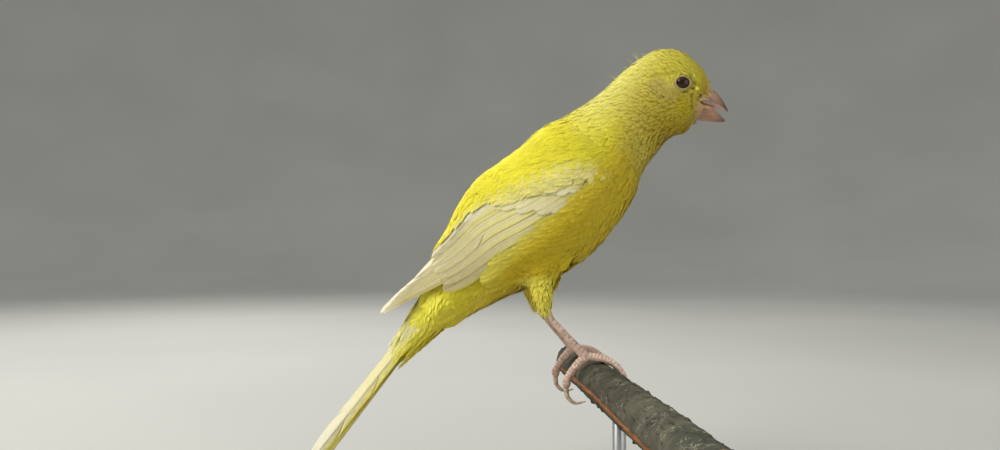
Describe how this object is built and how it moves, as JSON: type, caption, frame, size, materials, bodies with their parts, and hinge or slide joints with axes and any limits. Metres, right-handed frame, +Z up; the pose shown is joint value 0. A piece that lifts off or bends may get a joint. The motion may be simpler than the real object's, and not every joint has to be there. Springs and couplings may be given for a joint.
{
  "type": "canary, perched, life-size model on a display stand",
  "caption": "Life-size yellow canary gripping a cut length of branch, bill open, wings folded and tail hanging, on a round display base with a rod.",
  "frame": {"origin": "middle of the underside of the stand's base", "axes": "+X the way the bird faces, +Y its left side, +Z up; the branch runs nearly along Y, its longer end towards -Y"},
  "size_m": [0.1115, 0.131, 0.1209],
  "materials": {
    "plumage_yellow": "soft, slightly glossy body feathers",
    "plumage_head": "short dense feathers",
    "flight_feathers": "smooth creamy vanes with yellow outer edges",
    "tail_feathers": "smooth cream-white vanes with yellow edges",
    "bill_horn": "pinkish horn, satin",
    "mouth_flesh": "moist pink flesh",
    "eye_dark": "very dark brown, wet gloss",
    "leg_skin": "pinkish scaled skin",
    "claw_horn": "translucent greyish horn",
    "bark": "rough grey-green bark",
    "stand_wood": "turned hardwood, satin",
    "stand_steel": "brushed"
  },
  "bodies": {
    "root": {"stand_base": "stand_wood", "stand_rod": "stand_steel", "perch": "bark", "torso": "plumage_yellow", "neck": "plumage_yellow", "head": "plumage_head", "bill_upper": "bill_horn", "bill_lower": "bill_horn", "tongue": "mouth_flesh", "eye_right": "eye_dark", "eye_left": "eye_dark", "wing_right": "flight_feathers", "wing_left": "flight_feathers", "tail": "tail_feathers", "thigh_right": "plumage_yellow", "thigh_left": "plumage_yellow", "foot_right": "leg_skin", "foot_left": "leg_skin", "claw_right_inner": "claw_horn", "claw_right_middle": "claw_horn", "claw_right_outer": "claw_horn", "claw_right_hind": "claw_horn", "claw_left_inner": "claw_horn", "claw_left_middle": "claw_horn", "claw_left_outer": "claw_horn", "claw_left_hind": "claw_horn"}
  },
  "joints": []
}
